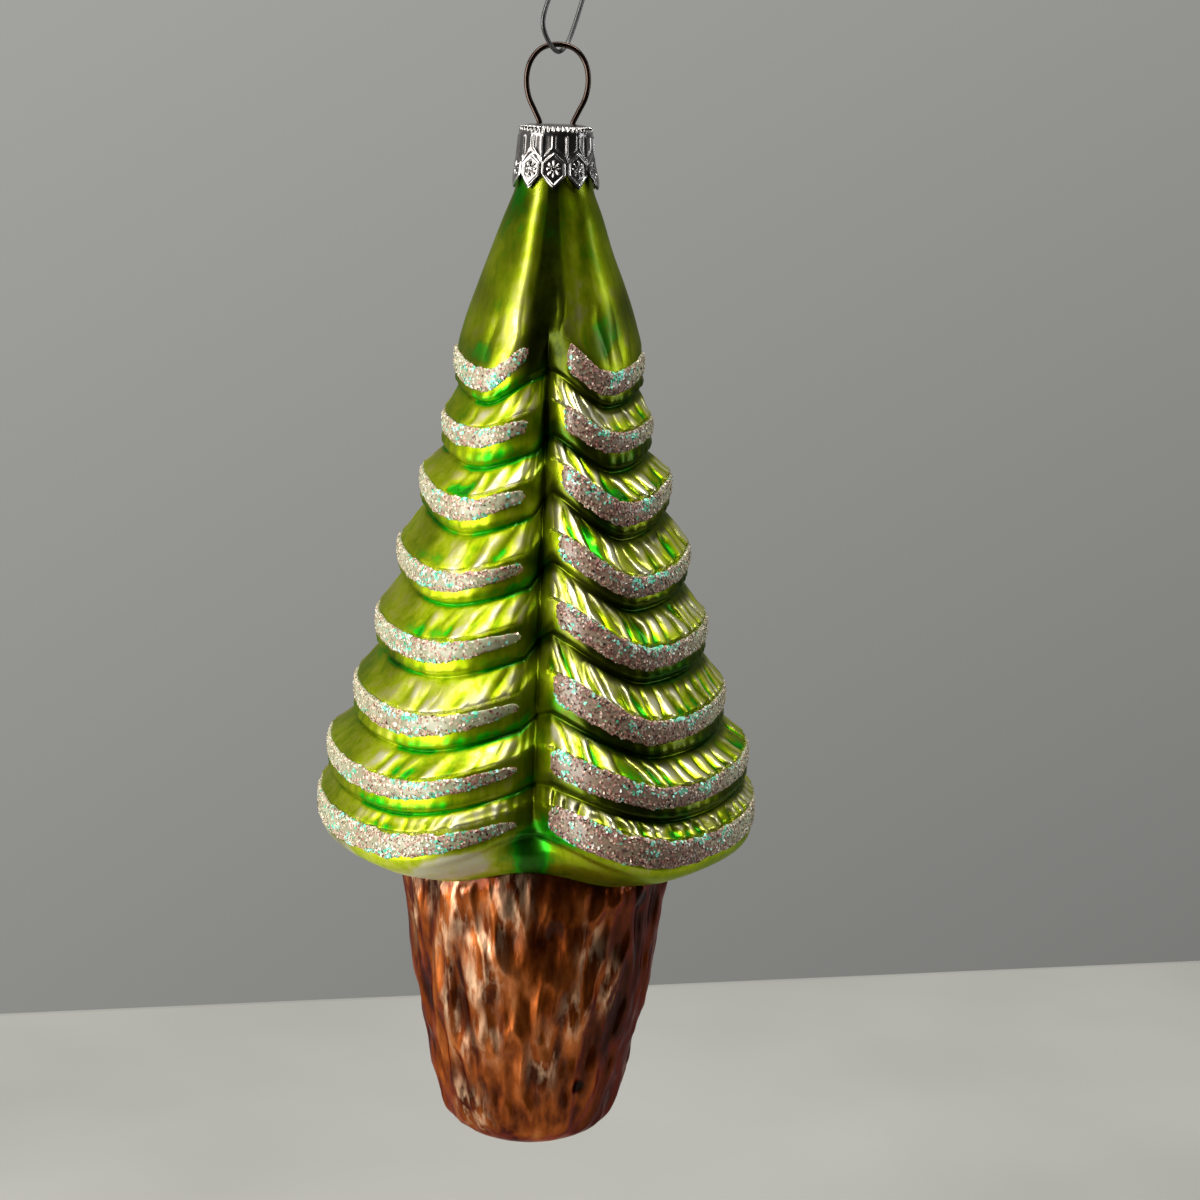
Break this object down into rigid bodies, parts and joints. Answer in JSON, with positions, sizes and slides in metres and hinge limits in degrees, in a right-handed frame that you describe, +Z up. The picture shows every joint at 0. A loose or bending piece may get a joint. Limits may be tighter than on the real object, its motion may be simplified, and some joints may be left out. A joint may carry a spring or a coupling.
{
  "type": "christmas tree ornament",
  "caption": "Blown glass tree ornament with a bark trunk, glitter-lined branches, a crown cap with a spring ring, and a wire hook.",
  "frame": {"origin": "the underside of the hook's crook, where the branch that carries the ornament bears", "axes": "+Z up along the line that the ornament hangs on, front of the tree towards -Y, right lobe towards +X"},
  "size_m": [0.068, 0.061, 0.1962],
  "materials": {
    "hook_steel": "satin",
    "ring_bronze": "gloss",
    "cap_tinplate": "gloss",
    "lacquered_glass": "satin",
    "glitter_glue": "glitter"
  },
  "bodies": {
    "hook": {"wire_hook": "hook_steel"},
    "ring": {"hanger_wire": "ring_bronze"},
    "crown": {"cap": "cap_tinplate"},
    "glass": {"glass_body": "lacquered_glass", "glitter_line_left_1": "glitter_glue", "glitter_line_left_2": "glitter_glue", "glitter_line_left_3": "glitter_glue", "glitter_line_left_4": "glitter_glue", "glitter_line_left_5": "glitter_glue", "glitter_line_left_6": "glitter_glue", "glitter_line_left_7": "glitter_glue", "glitter_line_left_8": "glitter_glue", "glitter_line_right_1": "glitter_glue", "glitter_line_right_2": "glitter_glue", "glitter_line_right_3": "glitter_glue", "glitter_line_right_4": "glitter_glue", "glitter_line_right_5": "glitter_glue", "glitter_line_right_6": "glitter_glue", "glitter_line_right_7": "glitter_glue", "glitter_line_right_8": "glitter_glue"}
  },
  "joints": [
    {"name": "ring_swing", "type": "hinge", "parent": "hook", "child": "ring", "pos_m": [0, 0, -0.03], "axis": [0.5592, 0.829, 0], "range_deg": [-45, 45]},
    {"name": "ring_tilt", "type": "hinge", "parent": "ring", "child": "crown", "pos_m": [0, 0, -0.04045], "axis": [1, 0, 0], "range_deg": [-6, 6]},
    {"name": "cap_pull", "type": "slide", "parent": "crown", "child": "glass", "axis": [0, 0, -1], "range_m": [0, 0.016]}
  ]
}
